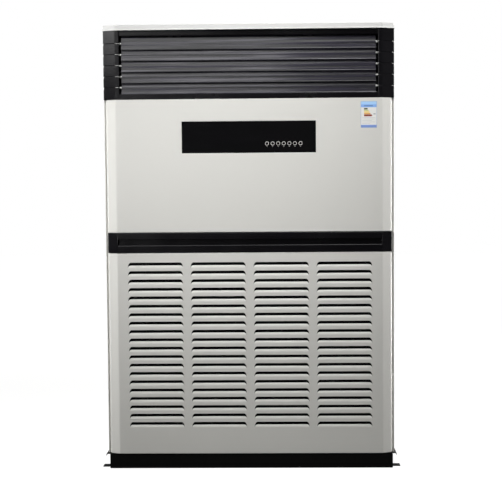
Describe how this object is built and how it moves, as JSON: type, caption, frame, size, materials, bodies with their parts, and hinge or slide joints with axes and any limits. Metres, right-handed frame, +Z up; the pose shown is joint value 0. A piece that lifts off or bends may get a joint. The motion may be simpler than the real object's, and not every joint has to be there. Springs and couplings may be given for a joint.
{
  "type": "floor standing air conditioner",
  "caption": "Tall cabinet air conditioner: louvred intake panel below, display panel in the middle, dark air outlet with turning blades at the top, on a low black base.",
  "frame": {"origin": "on the floor under the middle of the part's bounding box", "axes": "+Z up, the front with the intake louvres, display and outlet faces -Y, +X to the right of a viewer who faces the front"},
  "size_m": [1.262, 0.426, 1.86],
  "materials": {
    "ivory_paint": "satin powder coat",
    "cover_paint": "satin powder coat",
    "black_plastic": "fine moulded texture",
    "blade_plastic": "smooth extrusion",
    "white_nylon": "turned",
    "window_acrylic": "polished",
    "black_paint": "satin powder coat",
    "galvanised_steel": "spangled zinc",
    "duct_foam": "closed cell foam",
    "coil_fins": "rolled fins",
    "filter_nylon": "moulded",
    "black_rubber": "matt"
  },
  "bodies": {
    "cabinet": {"base_front_rail": "black_paint", "base_rear_rail": "black_paint", "base_left_rail": "black_paint", "base_right_rail": "black_paint", "base_pan": "black_paint", "left_side_panel": "ivory_paint", "right_side_panel": "ivory_paint", "top_cover": "cover_paint", "rear_lower_panel": "galvanised_steel", "rear_upper_panel": "galvanised_steel", "pipe_grommet": "black_rubber", "intake_panel": "ivory_paint", "filter_frame": "filter_nylon", "filter_net": "filter_nylon", "middle_band": "black_plastic", "display_panel": "ivory_paint", "display_window": "window_acrylic", "outlet_top_rail": "black_plastic", "outlet_bottom_rail": "black_plastic", "outlet_left_column": "black_plastic", "outlet_right_column": "black_plastic", "outlet_plenum": "duct_foam", "guide_vanes": "black_plastic", "cooling_coil": "coil_fins"},
    "blade_1": {"outlet_blade_1": "blade_plastic", "blade_pin_left_1": "white_nylon", "blade_pin_right_1": "white_nylon"},
    "blade_2": {"outlet_blade_2": "blade_plastic", "blade_pin_left_2": "white_nylon", "blade_pin_right_2": "white_nylon"},
    "blade_3": {"outlet_blade_3": "blade_plastic", "blade_pin_left_3": "white_nylon", "blade_pin_right_3": "white_nylon"},
    "blade_4": {"outlet_blade_4": "blade_plastic", "blade_pin_left_4": "white_nylon", "blade_pin_right_4": "white_nylon"},
    "blade_5": {"outlet_blade_5": "blade_plastic", "blade_pin_left_5": "white_nylon", "blade_pin_right_5": "white_nylon"}
  },
  "joints": [
    {"name": "blade_1_tilt", "type": "hinge", "parent": "cabinet", "child": "blade_1", "pos_m": [0, -0.186, 1.78405], "axis": [-1, 0, 0], "range_deg": [0, 90]},
    {"name": "blade_2_tilt", "type": "hinge", "parent": "cabinet", "child": "blade_2", "pos_m": [0, -0.186, 1.73855], "axis": [-1, 0, 0], "range_deg": [0, 90]},
    {"name": "blade_3_tilt", "type": "hinge", "parent": "cabinet", "child": "blade_3", "pos_m": [0, -0.186, 1.69305], "axis": [-1, 0, 0], "range_deg": [0, 90]},
    {"name": "blade_4_tilt", "type": "hinge", "parent": "cabinet", "child": "blade_4", "pos_m": [0, -0.186, 1.64755], "axis": [-1, 0, 0], "range_deg": [0, 90]},
    {"name": "blade_5_tilt", "type": "hinge", "parent": "cabinet", "child": "blade_5", "pos_m": [0, -0.186, 1.60205], "axis": [-1, 0, 0], "range_deg": [0, 90]}
  ]
}
